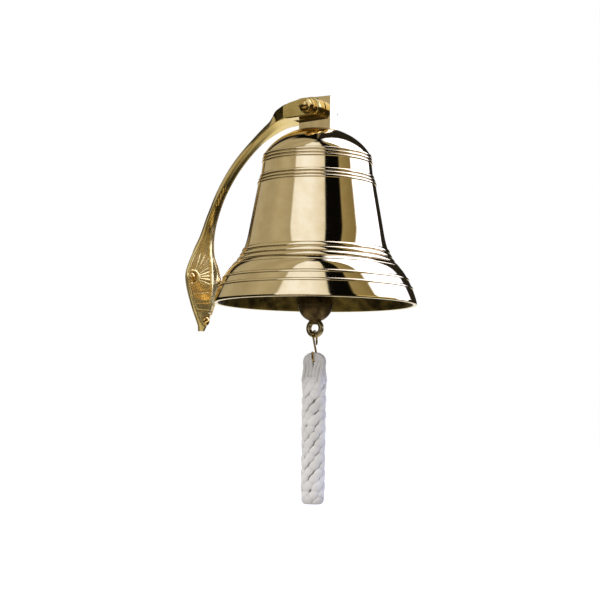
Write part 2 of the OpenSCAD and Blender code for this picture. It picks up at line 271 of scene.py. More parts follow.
def bracket_brass():
    """Yellower cast brass, its arm and fork buffed by hand and its plate brushed: soft waves in
    the shine, and painted shade that darkens and dulls the hollows."""
    material, tree = new_material("hand_buffed_cast_brass")
    place = object_coordinates(tree)
    waves = add(
        tree, "ShaderNodeTexNoise", {"Vector": place, "Scale": 1 / (11 * MM), "Detail": 2}
    ).outputs[0]
    grain = add(
        tree, "ShaderNodeTexNoise", {"Vector": place, "Scale": 1 / (1.2 * MM), "Detail": 3}
    ).outputs[0]
    # Painted shade: the relief's hollows are darkened towards dark brown by this share, and dulled
    hollow_shade = add(tree, "ShaderNodeAttribute", attribute_name="hollow_shade").outputs["Fac"]
    unshaded = fade(tree, waves, 0.3, 0.7, linear("#F6DC90"), linear("#EACB7C"))
    shade_share = add(tree, "ShaderNodeMath", {0: hollow_shade, 1: 0.7}, operation="MULTIPLY").outputs[0]
    tone = add(
        tree, "ShaderNodeMix", {0: shade_share, 6: unshaded, 7: linear("#6B5426")}, data_type="RGBA"
    ).outputs[2]
    grained = add(
        tree,
        "ShaderNodeMapRange",
        {"Value": grain, "From Min": 0.3, "From Max": 0.7, "To Min": 0.1, "To Max": 0.2},
    ).outputs[0]
    dull = add(tree, "ShaderNodeMapRange", {"Value": hollow_shade, "To Max": 0.3}).outputs[0]
    shine = add(tree, "ShaderNodeMath", {0: grained, 1: dull}, operation="ADD").outputs[0]
    # The brushed finish of the plate gives way to the buffed arm between these heights
    height = add(tree, "ShaderNodeSeparateXYZ", {"Vector": place}).outputs[2]
    brushed = add(
        tree,
        "ShaderNodeMapRange",
        {"Value": height, "From Min": 45 * MM, "From Max": 80 * MM, "To Min": 1, "To Max": 0},
    ).outputs[0]
    metallic = add(
        tree, "ShaderNodeMapRange", {"Value": brushed, "To Min": 1, "To Max": 0.8}
    ).outputs[0]
    rough = add(
        tree, "ShaderNodeMath", {0: brushed, 1: 0.08, 2: shine}, operation="MULTIPLY_ADD"
    ).outputs[0]
    fine = add(tree, "ShaderNodeBump", {"Height": grain, "Distance": 0.006 * MM}).outputs[0]
    wavy = add(
        tree, "ShaderNodeBump", {"Height": waves, "Distance": 0.05 * MM, "Normal": fine}
    ).outputs[0]
    close_material(tree, Base_Color=tone, Metallic=metallic, Roughness=rough, Normal=wavy)
    return material


def fixing_brass():
    """Machined brass of the bolts, nuts, pins and wire: bright, with fine tool marks."""
    material, tree = new_material("machined_brass")
    marks = add(
        tree,
        "ShaderNodeTexNoise",
        {"Vector": object_coordinates(tree), "Scale": 1 / (0.7 * MM), "Detail": 2},
    ).outputs[0]
    close_material(
        tree,
        Base_Color=fade(tree, marks, 0.3, 0.7, linear("#E6C57C"), linear("#CFAA5C")),
        Metallic=1.0,
        Roughness=0.16,
        Normal=add(tree, "ShaderNodeBump", {"Height": marks, "Distance": 0.02 * MM}).outputs[0],
    )
    return material


def worn_bronze():
    """The clapper's bronze where the hook has rubbed it bright."""
    material, tree = new_material("rubbed_cast_bronze")
    grit = add(
        tree,
        "ShaderNodeTexNoise",
        {
            "Vector": object_coordinates(tree), "Scale": 1 / (1.3 * MM),
            "Detail": 4, "Roughness": 0.6,
        },
    ).outputs[0]
    rough = add(
        tree,
        "ShaderNodeMapRange",
        {"Value": grit, "From Min": 0.3, "From Max": 0.7, "To Min": 0.24, "To Max": 0.4},
    ).outputs[0]
    close_material(
        tree,
        Base_Color=fade(tree, grit, 0.35, 0.65, linear("#C9B27C"), linear("#E5D3A0")),
        Metallic=1.0,
        Roughness=rough,
        Normal=add(tree, "ShaderNodeBump", {"Height": grit, "Distance": 0.12 * MM}).outputs[0],
    )
    return material


def cotton_rope():
    """White braided cotton: matt, with soft fibre sheen, the yarns' lines along each strand, and
    painted shade in the furrows between its lozenges.
    """
    material, tree = new_material("braided_cotton")
    along = add(tree, "ShaderNodeAttribute", attribute_name="yarn").outputs["Vector"]
    place = object_coordinates(tree)
    # Yarns lie about 1.1 mm apart across a strand; a wave repeats every 2 pi / (20 x scale)
    wave_scale = 2 * math.pi / (20 * 1.1 * MM)
    yarns = add(
        tree,
        "ShaderNodeTexWave",
        {"Vector": along, "Scale": wave_scale, "Distortion": 1.2, "Detail": 1.0},
    ).outputs[1]
    fuzz = add(
        tree,
        "ShaderNodeTexNoise",
        {"Vector": place, "Scale": 1 / (0.6 * MM), "Detail": 4, "Roughness": 0.7},
    ).outputs[0]
    # Painted shade: the furrows between the braid's lozenges are darkened towards grey
    furrow_shade = add(tree, "ShaderNodeAttribute", attribute_name="furrow_shade").outputs["Fac"]
    dusty = add(
        tree, "ShaderNodeTexNoise", {"Vector": place, "Scale": 1 / (17 * MM), "Detail": 3}
    ).outputs[0]
    unshaded = fade(tree, dusty, 0.35, 0.7, linear("#EAE7E3"), linear("#D8D3CD"))
    tone = add(
        tree, "ShaderNodeMix", {0: furrow_shade, 6: unshaded, 7: linear("#7F7972")}, data_type="RGBA"
    ).outputs[2]
    fine = add(
        tree, "ShaderNodeBump", {"Height": fuzz, "Distance": 0.25 * MM, "Strength": 0.6}
    ).outputs[0]
    furrowed = add(
        tree,
        "ShaderNodeBump",
        {"Height": yarns, "Distance": 0.25 * MM, "Strength": 0.7, "Normal": fine},
    ).outputs[0]
    close_material(
        tree,
        Base_Color=tone,
        Roughness=0.92,
        Sheen_Weight=0.25,
        Sheen_Roughness=0.5,
        Normal=furrowed,
    )
    return material


BRASS = polished_brass()
CAST_INSIDE = cast_inside()
FETTLED = fettled_brass()
BRACKET_BRASS = bracket_brass()
FIXING = fixing_brass()
BRONZE = clapper_bronze()
WORN = worn_bronze()
COTTON = cotton_rope()

# ---- Meshes ----


def new_piece(name, points, faces, materials, body, replaced=(), sharp=40):
    """A mesh piece from points in millimetres, that rides on a body and stands for CAD nodes."""
    mesh = bpy.data.meshes.new(name)
    mesh.from_pydata((np.array(points) * MM).tolist(), [], [list(f) for f in faces])
    for material in materials:
        mesh.materials.append(material)
    piece = bpy.data.objects.new(name, mesh)
    scene.collection.objects.link(piece)
    smooth(mesh, sharp)
    settle(piece, body, replaced)
    return piece


def smooth(mesh, sharp):
    """Shades a mesh smooth, apart from edges that turn by more than an angle in degrees."""
    mesh.polygons.foreach_set("use_smooth", [True] * len(mesh.polygons))
    mesh.set_sharp_from_angle(angle=math.radians(sharp))
    mesh.update()


def settle(piece, body, replaced=()):
    """Rides a piece on its body, and hides the CAD nodes it stands for."""
    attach(piece, body)
    if replaced:
        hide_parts(*replaced)


def grid_faces(rows, columns, first=0):
    """Quads between closed rings of points; each ring has the same number of points."""
    return [
        (
            first + i * columns + j,
            first + i * columns + (j + 1) % columns,
            first + (i + 1) * columns + (j + 1) % columns,
            first + (i + 1) * columns + j,
        )
        for i in range(rows - 1)
        for j in range(columns)
    ]


class Shape:
    """Gathers points and faces of several closed parts that make up one piece."""

    def __init__(self):
        self.points = []
        self.faces = []

    def rings(self, rings):
        """Adds a skin over rings of points, closed at both ends."""
        first = len(self.points)
        count = len(rings[0])
        for ring in rings:
            self.points.extend([tuple(p) for p in ring])
        self.faces.extend(grid_faces(len(rings), count, first=first))
        self.faces.append(tuple(first + j for j in reversed(range(count))))
        top = first + (len(rings) - 1) * count
        self.faces.append(tuple(top + j for j in range(count)))

    def tube(self, line, radius, sides=16, hint=(0, 0, 1)):
        """Adds a round bar along a line of points, with one radius or one for each point."""
        line = np.array(line, float)
        radii = np.broadcast_to(radius, (len(line),))
        runs = np.gradient(line, axis=0)
        runs /= np.linalg.norm(runs, axis=1)[:, None]
        side = np.cross(runs[0], hint)
        side /= np.linalg.norm(side)
        rings = []
        for point, run, r in zip(line, runs, radii):
            side = side - run * np.dot(side, run)
            side /= np.linalg.norm(side)
            over = np.cross(run, side)
            angles = np.arange(sides) * 2 * math.pi / sides
            rings.append(
                [point + r * (math.cos(a) * side + math.sin(a) * over) for a in angles]
            )
        self.rings(rings)

    def turned(self, profile, axis, centre, sides=48):
        """Adds a solid of revolution from (radius, height) points along an axis through a centre."""
        axis = Vector(axis)
        turn = axis.to_track_quat("Z", "Y").to_matrix()
        rings = [
            [
                Vector(centre)
                + turn @ Vector((r * math.cos(a), r * math.sin(a), h))
                for a in (2 * math.pi * j / sides for j in range(sides))
            ]
            for r, h in profile
        ]
        self.rings(rings)


def bezier(p, steps):
    """Points of a cubic Bezier curve, without its last one."""
    p = np.array(p, float)
    t = (np.arange(steps) / steps)[:, None]
    return (
        (1 - t) ** 3 * p[0]
        + 3 * (1 - t) ** 2 * t * p[1]
        + 3 * (1 - t) * t * t * p[2]
        + t**3 * p[3]
    )


def soft_step(x, low, high):
    t = np.clip((x - low) / (high - low), 0, 1)
    return t * t * (3 - 2 * t)


# ---- Bell ----

# Stretches of the outside, from the lip up to the hanger's seat, each a Bezier curve's four points
# as (radius, height above the mouth)
OUTSIDE = [
    [(100.5, 0.8), (98.2, 13), (88.5, 33.5), (81.3, 38)],
    [(81.3, 38), (72.5, 46), (68.9, 60.5), (67.2, 70)],
    [(67.2, 70), (64.3, 86), (61.5, 102), (58.6, 117.4)],
    [(58.6, 117.4), (58, 121), (56.2, 124), (55.6, 127.8)],
    [(55.6, 127.8), (54.6, 136), (53.8, 143), (52.8, 148.2)],
    [(52.8, 148.2), (50.5, 153), (44.5, 160), (36, 165.5)],
    [(36, 165.5), (30, 169), (25, 171.5), (19, 173)],
]
# Stretches of the inside, from the lip up to the flat under the crown
INSIDE = [
    [(96.3, 0.6), (92, 13), (80.5, 31), (70, 44.5)],
    [(70, 44.5), (66, 50), (62.8, 62), (62, 74)],
    [(62, 74), (57.8, 96), (53.5, 118), (49.2, 140)],
    [(49.2, 140), (46.5, 148.5), (32, 158), (14, 162)],
]
# The lip's underside, from the inside out
LIP = [(96.6, 0.2), (97.2, 0), (99.8, 0), (100.3, 0.25)]
# Mouldings turned on the outside: height above the mouth, half-width, rise
BEADS = [
    (16.5, 1.4, 0.9), (24.9, 1.4, 0.9),
    (38.9, 2.1, 1.1), (43.3, 2.1, 1.1), (47.8, 2.1, 1.1), (52.4, 2.1, 1.1),
    (119.2, 1.6, 1), (122.6, 1.6, 1), (126, 1.6, 1),
    (140.4, 1.5, 1), (143.7, 1.5, 1), (147, 1.5, 1),
]
PROFILE_HEIGHT = 173
PROFILE_RADIUS = 201 / 2
BELL_SIDES = 192
BORE_R = 5.3
ROUGH_CROWN_FROM = 169.3
UNDER_CROWN = 162


def outside_profile():
    """The outside with its mouldings, sampled finely across each moulding."""
    fine = np.concatenate([bezier(p, 200) for p in OUTSIDE] + [[OUTSIDE[-1][-1]]])
    heights = set(np.concatenate([bezier(p, 14)[:, 1] for p in OUTSIDE]).round(3))
    for centre, half, _ in BEADS:
        heights -= {h for h in heights if abs(h - centre) <= half + 0.15}
    rises = {}
    for centre, half, rise in BEADS:
        for step in range(-6, 7):
            angle = math.radians(15 * step)
            rises[round(centre + half * math.sin(angle), 4)] = rise * math.cos(angle)
    heights = sorted(heights | set(rises) | {PROFILE_HEIGHT})
    return [(float(np.interp(h, fine[:, 1], fine[:, 0])) + rises.get(h, 0), h) for h in heights]


def make_bell():
    outer = outside_profile()
    inner = np.concatenate([bezier(p, 16) for p in INSIDE]).tolist()
    bore = [(BORE_R, PROFILE_HEIGHT), (BORE_R, UNDER_CROWN), (14, UNDER_CROWN)]
    profile = outer + bore + inner[::-1] + LIP
    wide = (bell_hi[0] - bell_lo[0]) / 2 / PROFILE_RADIUS
    tall = (bell_hi[2] - bell_lo[2]) / PROFILE_HEIGHT
    angles = -2 * np.pi * np.arange(BELL_SIDES) / BELL_SIDES
    ring = np.stack([np.cos(angles), np.sin(angles)], axis=1)
    points = [
        (reach + r * wide * x, r * wide * y, mouth_z + h * tall) for r, h in profile for x, y in ring
    ]
    count = len(profile)
    faces = grid_faces(count, BELL_SIDES)
    last = (count - 1) * BELL_SIDES
    for j in range(BELL_SIDES):
        k = (j + 1) % BELL_SIDES
        faces.append((last + j, last + k, k, j))
    bell = new_piece(
        "bell", points, faces, [BRASS, CAST_INSIDE, FETTLED], "bell", ["bell_shell"]
    )
    inside_from = len(outer)
    inside_to = count - len(LIP) - 1
    for i, polygon in enumerate(bell.data.polygons):
        row = i // BELL_SIDES
        if inside_from <= row <= inside_to:
            polygon.material_index = 1
        elif row < inside_from and profile[row][1] >= ROUGH_CROWN_FROM:
            polygon.material_index = 2


make_bell()

# ---- Rope ----

# Heights on the rope's route, straight down from the top of its bight
HOLE_Z = -71
BIGHT_FOOT_Z = -92
ROPE_FOOT_Z = -210
BRAID_TOP_Z = -86
# Lozenges of the braid: how many round the rope, their spacing down it, their lean to the right,
# half their length and width, and the radius at which they lie
LOZENGES_ROUND = 6
LOZENGE_PITCH = 7.0
LOZENGE_LEAN = math.radians(40)
HALF_LONG, HALF_WIDE = 7.8, 4.6
LOZENGE_R = 11.0
# Radius of the furrows between the lozenges, and how far the lozenges stand above them
FURROW_R, LOZENGE_RISE = 9.4, 2.6
# Strands of the bight: their distance from the hole's centre over the wire, half their width,
# and their distance from the rope's middle further down
BIGHT_STRANDS = ((3.4, 1.9, 1.85), (7.1, 1.95, 5.5), (10.2, 1.75, 9.1))
# The bight is a little flatter than round over the wire
BIGHT_FLAT = 0.72


def make_rope():
    rope = Shape()
    yarn = []
    furrow_shade = []
    # Braid: fat lozenges on a staggered lattice that rise to the right
    columns, step = 144, 0.5
    rows = np.arange(BRAID_TOP_Z, ROPE_FOOT_Z - 0.01, -step)
    angle = 2 * np.pi * np.arange(columns) / columns
    z, a = np.meshgrid(rows, angle, indexing="ij")
    best = np.full(z.shape, -1.0)
    yarn_at = np.zeros(z.shape + (2,))
    along, aside = math.cos(LOZENGE_LEAN), math.sin(LOZENGE_LEAN)
    dice = random.Random(7)
    for row in range(-1, 19):
        for turn in range(LOZENGES_ROUND):
            centre_a = (turn + 0.5 * (row % 2)) * math.pi / 3 + dice.uniform(-0.11, 0.11)
            centre_z = BRAID_TOP_Z - 2 - row * LOZENGE_PITCH + dice.uniform(-1.1, 1.1)
            size = dice.uniform(0.93, 1.1)
            across = (a - centre_a + np.pi) % (2 * np.pi) - np.pi
            u = across * LOZENGE_R
            v = z - centre_z
            long = u * along + v * aside
            wide = -u * aside + v * along
            # Each lozenge dips under its neighbours at both ends
            level = 1 - (long / (HALF_LONG * size)) ** 2 - (wide / (HALF_WIDE * size)) ** 2
            better = level > best
            best = np.where(better, level, best)
            yarn_at[better] = np.stack([wide, long], axis=-1)[better] + turn * 40
    lift = np.sqrt(np.clip(best, 0, 1))
    radius = FURROW_R + LOZENGE_RISE * lift
    # The foot is rounded off, and the top is a little thinner where the bight starts
    end = np.clip((z - ROPE_FOOT_Z) / 9, 0, 1)
    radius = radius * (0.62 + 0.38 * np.sqrt(1 - (1 - end) ** 2))
    top = np.clip((BRAID_TOP_Z - z) / 5, 0, 1)
    radius = radius * (0.8 + 0.2 * top)
    rope.rings(
        [
            [(reach + r * math.cos(t), r * math.sin(t), h) for r, t in zip(ring, angle)]
            for ring, h in zip(radius, rows)
        ][::-1]
    )
    yarn.extend(yarn_at[::-1].reshape(-1, 2).tolist())
    # Painted shade: dark grey laid into the furrows where the lozenges sink
    furrow_shade.extend(np.clip(1 - lift[::-1] * 2.2, 0, 1).reshape(-1).tolist())
    # Bight: flat strands that rise on one side of the hook's wire and come down on the other
    for layer in (-1, 1):
        for ring_r, bar, closed_r in BIGHT_STRANDS:
            line = []
            legs = np.linspace(BIGHT_FOOT_Z - 2, HOLE_Z, 14)
            leg_r = ring_r + (closed_r - ring_r) * soft_step(HOLE_Z - legs, 0, 7)
            for h, r in zip(legs, leg_r):
                line.append((reach - r, h))
            for s in range(1, 16):
                t = math.pi * (1 - s / 16)
                over = HOLE_Z + ring_r * BIGHT_FLAT * math.sin(t)
                line.append((reach + ring_r * math.cos(t), over))
            for h, r in zip(legs[::-1], leg_r[::-1]):
                line.append((reach + r, h))
            sides = 20
            rings = []
            for i, (x, h) in enumerate(line):
                before, after = line[max(i - 1, 0)], line[min(i + 1, len(line) - 1)]
                run = np.array([after[0] - before[0], after[1] - before[1]])
                run /= np.linalg.norm(run)
                fall = min(max((HOLE_Z - h) / (HOLE_Z - BIGHT_FOOT_Z), 0), 1)
                thick = 1.35 + 3.4 * fall**1.2
                centre_y = layer * (thick + 0.05 + 0.5 * fall)
                pinch = 1 - 0.45 * max(0, (fall - 0.8) / 0.2) ** 2
                squeeze = bar * pinch
                ring = []
                for k in range(sides):
                    p = 2 * math.pi * k / sides
                    off = squeeze * math.cos(p)
                    level = centre_y + thick * pinch * math.sin(p)
                    ring.append((x - run[1] * off, level, h + run[0] * off))
                rings.append(ring)
                yarn.extend([(bar * p, i * 2.0) for p in np.arange(sides) * 2 * math.pi / sides])
                furrow_shade.extend([0.0] * sides)
            rope.rings(rings)
    piece = new_piece(
        "bell_rope_braid", rope.points, rope.faces, [COTTON], "rope",
        ["rope_eye", "bell_rope"], sharp=70,
    )
    lines = piece.data.attributes.new("yarn", "FLOAT_VECTOR", "POINT")
    lines.data.foreach_set("vector", np.array([(x * MM, y * MM, 0) for x, y in yarn]).ravel())
    hollows = piece.data.attributes.new("furrow_shade", "FLOAT", "POINT")
    hollows.data.foreach_set("value", furrow_shade)


make_rope()

# ---- Wall bracket ----

# Stations from the plate's tip up the arm to the fork:
# x and z of the back, half-width, thickness at the middle, thickness at the edges
STATIONS = np.array([
    (-1, -39, 3, 9, 5), (-1, -30, 9.5, 11.5, 6), (-1, -15, 20, 15, 6),
    (-1, 3, 29.5, 16.5, 6), (-1, 16, 32.5, 16.5, 6), (-1, 27, 28.5, 16, 6),
    (-1, 41, 19.5, 14.5, 6), (3, 59, 12, 11, 6.5), (9, 80, 9, 9.4, 7),
    (20, 105, 7.5, 8.4, 7.4), (38, 132, 7.5, 8.2, 7.4), (62, 156, 8.5, 8.4, 7.4),
    (86, 173, 14, 10, 9), (103, 181, 19.3, 12.5, 12.5), (110, 183.5, 20.3, 13, 13),
], float)
SCREW_CIRCLE_R = 28.5
SIDE_SCREW = (SCREW_CIRCLE_R * math.cos(math.radians(30)), SCREW_CIRCLE_R / 2)
LOWER_SCREW = (0.0, -SCREW_CIRCLE_R)
# The screws' round-headed seats are sunk this far from the top of the heads, over this radius
SCREW_SEAT_DEPTH = 3.2
SCREW_SEAT_R = 5.6

# The rib along the ridge is flat over this half-width
RIB_HALF = 1.7
# How far the sides lean in towards the wall, as a share of the edge's thickness
SIDE_LEAN = 1.0
# The sides' lean fades out between these distances from the wall
LEAN_FADE = (80, 98)
# How far the upper arm's relief reaches up, and over what height it fades
RELIEF_TO, RELIEF_FADE = 150, 10
# The tip is below this height, and keeps this share of the relief
TIP_BELOW, TIP_SHARE = -21.5, 0.35
# The flutes fan out from each side screw towards the ridge, between these turns, in degrees
FAN_FROM, FAN_TO, FAN_STEP = -4, 66, 10
# Rises and depths of the relief
RIM_RISE, RIB_RISE, COLLAR_RISE = 0.8, 0.8, 0.7
GROOVE_DEPTH, FLUTE_DEPTH, RECESS_DEPTH = 0.5, 0.9, 1.0
LINE_DEPTH, HEM_DEPTH, VEIN_DEPTH = 0.5, 1.1, 0.45
# Heights of the two lines across the plate, and of the hem above its tip
LINES_Z = (-1.5, -12)
HEM_Z = -18.8
# Leaf veins on the lower arm: spacing, and how steeply they fall away from the ridge
VEIN_STEP, VEIN_FALL = 5, 1.6


def spline(stations, u):
    """Points of a Catmull-Rom curve through the stations, with u counted in stations."""
    last = len(stations) - 1
    i = np.minimum(np.floor(u).astype(int), last - 1)
    t = (u - i)[:, None]
    a, b = stations[np.maximum(i - 1, 0)], stations[i]
    c, d = stations[i + 1], stations[np.minimum(i + 2, last)]
    return 0.5 * (
        2 * b + (c - a) * t + (2 * a - 5 * b + 4 * c - d) * t**2 + (3 * b - a - 3 * c + d) * t**3
    )


def hump(x, half):
    """A round bump of height 1 about x = 0."""
    return np.sqrt(np.clip(1 - (x / half) ** 2, 0, 1))


def relief(y, z, half_width):
    """Rise of the bracket's front over its plain ridged section, in mm, and the share of painted
    shade in its hollows.
    """
    side = np.abs(y)
    edge = half_width - side
    plate = 1 - soft_step(z, 40, 62)
    rim = RIM_RISE * hump(edge - 1.5, 1.3) * soft_step(half_width, 5, 9)
    groove = GROOVE_DEPTH * hump(edge - 3.5, 0.8) * soft_step(half_width, 8, 12)
    rib = RIB_RISE * soft_step(RIB_HALF + 0.6 - side, 0, 0.6)
    rib = rib * soft_step(z, -20, -17) * (1 - soft_step(z, 60, 75))
    dy, dz = SIDE_SCREW[0] - side, z - SIDE_SCREW[1]
    radius = np.hypot(dy, dz)
    turn = np.degrees(np.arctan2(dz, dy))
    inner = soft_step(edge, 4.2, 6) * soft_step(side, 1.6, 3)
    fan = soft_step(radius, 7.4, 9.5) * (1 - soft_step(radius, 27, 34)) * inner
    fan = fan * soft_step(turn, FAN_FROM - 1, FAN_FROM + 1)
    fan = fan * (1 - soft_step(turn, FAN_TO - 1, FAN_TO + 1))
    wave = 0.5 - 0.5 * np.cos(np.radians((turn - FAN_FROM) * 360 / FAN_STEP))
    flutes = fan * FLUTE_DEPTH * wave ** 1.5
    # A recess under the fan, and two lines across the plate below it
    recess = RECESS_DEPTH * hump(turn - FAN_FROM + 6, 3.5) * soft_step(radius, 7.4, 9) * inner
    lines = sum(LINE_DEPTH * hump(z - at - 0.12 * dy, 0.8) for at in LINES_Z) * inner
    hem = HEM_DEPTH * hump(z - HEM_Z, 1.2) * soft_step(edge, 2.5, 4)
    # A few short leaf veins on the lower arm
    leaf = soft_step(z, 88, 91) * (1 - soft_step(z, 106, 109)) * soft_step(edge, 1.6, 2.6)
    wave = 0.5 - 0.5 * np.cos(2 * np.pi * (z - VEIN_FALL * side) / VEIN_STEP)
    veins = VEIN_DEPTH * leaf * wave ** 2 * soft_step(side, 0.6, 1.4)
    boss = np.minimum(radius, np.hypot(y, z - LOWER_SCREW[1]))
    collar = COLLAR_RISE * hump(boss - 6.6, 0.8)
    # The rim is half as high on the arm
    rise = rim * (plate + 0.5 * (1 - plate)) - groove - flutes - recess - lines - veins
    rise = rise + rib + collar - hem
    # Painted shade: how much the colour is darkened in the flutes, recess, lines, groove, hem and
    # veins
    hollow_shade = 0.35 * flutes + 0.9 * recess + lines + 0.4 * groove + 0.7 * hem + 0.5 * veins
    hollow_shade = np.clip(hollow_shade, 0, 1)
    # The tip under the hem keeps only a trace of the relief
    return rise * np.where(z > TIP_BELOW, 1, TIP_SHARE), hollow_shade


def make_bracket():
    steps, across = 26, 121
    count = (len(STATIONS) - 1) * steps + 1
    u = np.linspace(0, len(STATIONS) - 1, count)
    centre = spline(STATIONS, u)
    ahead = spline(STATIONS, np.minimum(u + 0.05, len(STATIONS) - 1))
    behind = spline(STATIONS, np.maximum(u - 0.05, 0))
    step = (ahead - behind)[:, :2]
    step /= np.linalg.norm(step, axis=1)[:, None]
    out = np.stack([step[:, 1], -step[:, 0]], axis=1)
    shape = Shape()
    hollows = []
    rings = []
    # Across the front, points crowd towards the edges, where the rolled rim is
    lean = np.sin(np.linspace(-1, 1, across) * np.pi / 2 * 0.86) / math.sin(np.pi / 2 * 0.86)
    for s, o in zip(centre, out):
        w, ridge, edge = s[2], s[3], s[4]
        corner = min(1.2, w / 3)
        y = lean * (w - 0.35 * corner)
        halfway = edge + (ridge - edge) * 0.55
        height = np.interp(np.maximum(np.abs(y), RIB_HALF), [0, w / 2, w], [ridge, halfway, edge])
        z_line = s[1] + o[1] * height
        rise, hollow_shade = relief(y, z_line, w)
        # The relief fades out on the upper arm
        height = height + rise * np.clip((RELIEF_TO - z_line) / RELIEF_FADE, 0, 1)
        past = np.clip((np.abs(y) - (w - corner)) / corner, 0, 1)
        height = height - corner * (1 - np.sqrt(np.clip(1 - past ** 2, 0, 1)))
        front = list(zip(height, y))
        lean_in = min(SIDE_LEAN * edge, w - 1) * float(1 - soft_step(s[0], *LEAN_FADE))
        side_points = [
            (edge * (1 - t), w - lean_in * t) for t in (0.3, 0.6, 0.9)
        ] + [(0, w - lean_in), (0, (w - lean_in) * 0.5)]
        back = side_points + [(0, 0)] + [(h, -yy) for h, yy in reversed(side_points)]
        ring = [(s[0] + o[0] * h, yy, s[1] + o[1] * h) for h, yy in front + back]
        ring = [(max(x, 0.0), yy, zz) for x, yy, zz in ring]
        rings.append(ring)
        hollows.extend(list(hollow_shade) + [0.0] * len(back))
    shape.rings(rings)
    casting = new_piece(
        "bracket_casting", shape.points, shape.faces, [BRACKET_BRASS], "bracket",
        ["bracket"], sharp=50,
    )
    # The share of painted shade in the hollows goes onto the casting as an attribute
    hollow_at = casting.data.attributes.new("hollow_shade", "FLOAT", "POINT")
    hollow_at.data.foreach_set("value", hollows)
    cutters = Shape()
    for (y, z), head in zip(
        (SIDE_SCREW, (-SIDE_SCREW[0], SIDE_SCREW[1]), LOWER_SCREW), screw_heads
    ):
        seat = head[1][0] - SCREW_SEAT_DEPTH
        cutters.turned([(SCREW_SEAT_R, 0), (SCREW_SEAT_R, 20)], (1, 0, 0), (seat, y, z))
    cut(casting, cutters)


def cut(piece, cutters):
    """Takes the cutters out of a piece."""
    mesh = bpy.data.meshes.new("cutters")
    mesh.from_pydata((np.array(cutters.points) * MM).tolist(), [], cutters.faces)
    tool = bpy.data.objects.new("cutters", mesh)
    scene.collection.objects.link(tool)
    change = piece.modifiers.new("cut", "BOOLEAN")
    change.operation = "DIFFERENCE"
    change.solver = "EXACT"
    change.object = tool
    apply_modifiers(piece)
    bpy.data.objects.remove(tool)
    bpy.data.meshes.remove(mesh)


def apply_modifiers(piece):
    """Makes a piece's modifiers part of its mesh."""
    graph = bpy.context.evaluated_depsgraph_get()
    solid = bpy.data.meshes.new_from_object(piece.evaluated_get(graph), depsgraph=graph)
    piece.modifiers.clear()
    old = piece.data
    piece.data = solid
    bpy.data.meshes.remove(old)


make_bracket()


def bevelled(piece, width_mm):
    """Rounds a piece's sharp edges for good, and keeps its flat faces flat in the shine."""
    change = piece.modifiers.new("edges", "BEVEL")
    change.width = width_mm * MM
    change.segments = 3
    change.limit_method = "ANGLE"
    change.angle_limit = math.radians(35)
    apply_modifiers(piece)
    smooth(piece.data, 10)


# Corners of the fork's root in profile, as (distance from the wall, height): under the tines,
# then over the arm and down inside it
FORK_UNDER = (110, 168.8)
FORK_OVER = [(112, 184.5), (106, 182), (106, 169.8)]
NOSE_R = 9


def make_fork():
    """The two tines and their root, cut from one profile and rounded along its edges."""
    fork_half = -nut_hi[1] - 1.6
    slot_half = block_hi[1] + 0.3
    nose = (reach + 3, pivot_z + 0.3)
    outline = [FORK_UNDER, (nose[0], nose[1] - NOSE_R)]
    for i in range(1, 24):
        t = -math.pi / 2 + math.pi * i / 24
        outline.append((nose[0] + NOSE_R * math.cos(t), nose[1] + NOSE_R * math.sin(t)))
    outline += [(nose[0], nose[1] + NOSE_R), (127, pivot_z + 9)] + FORK_OVER
    shape = Shape()
    shape.rings([[(x, y, z) for x, z in outline] for y in (fork_half, -fork_half)])
    fork = new_piece(
        "bracket_fork", shape.points, shape.faces, [BRACKET_BRASS], "bracket"
    )
    cutters = Shape()
    crotch = reach - 23
    far = crotch + 60
    square = [(crotch, -slot_half), (far, -slot_half), (far, slot_half), (crotch, slot_half)]
    cutters.rings([[(x, y, z) for x, y in square] for z in (pivot_z - 30, pivot_z + 30)])
    cut(fork, cutters)
    bevelled(fork, 1.1)


make_fork()

# ---- Hanger and pivot ----


def make_block():
    shape = Shape()
    lo, hi = block_lo, block_hi
    shape.rings([
        [(lo[0], lo[1], z), (hi[0], lo[1], z), (hi[0], hi[1], z), (lo[0], hi[1], z)]
        for z in (lo[2], hi[2])
    ])
    block = new_piece(
        "hanger_lug", shape.points, shape.faces, [BRASS], "bell", ["hanger_block"]
    )
    bevelled(block, 0.35)


make_block()


def hex_rings(across_flats, low, high, chamfer):
    """Rings of a hexagon with its corners rounded off at both ends, as (radius, turn, height)."""
    corner_r = across_flats / math.cos(math.radians(30)) / 2
    flat_r = across_flats / 2
    sides = 48
    rings = []
    end_r = flat_r - 0.3
    ends = ((low, end_r), (low + chamfer, corner_r), (high - chamfer, corner_r), (high, end_r))
    for h, cone in ends:
        ring = []
        for j in range(sides):
            a = 2 * math.pi * j / sides
            within = a % (math.pi / 3) - math.pi / 6
            ring.append((min(flat_r / math.cos(within), cone), a, h))
        rings.append(ring)
    return rings


def add_hexagon(shape, across_flats, low, high, chamfer=0.8):
    """A chamfered hexagon about the pivot's axis, from low to high along Y."""
    shape.rings([
        [(reach + r * math.cos(a), h, pivot_z - r * math.sin(a)) for r, a, h in ring]
        for ring in hex_rings(across_flats, low, high, chamfer)
    ])


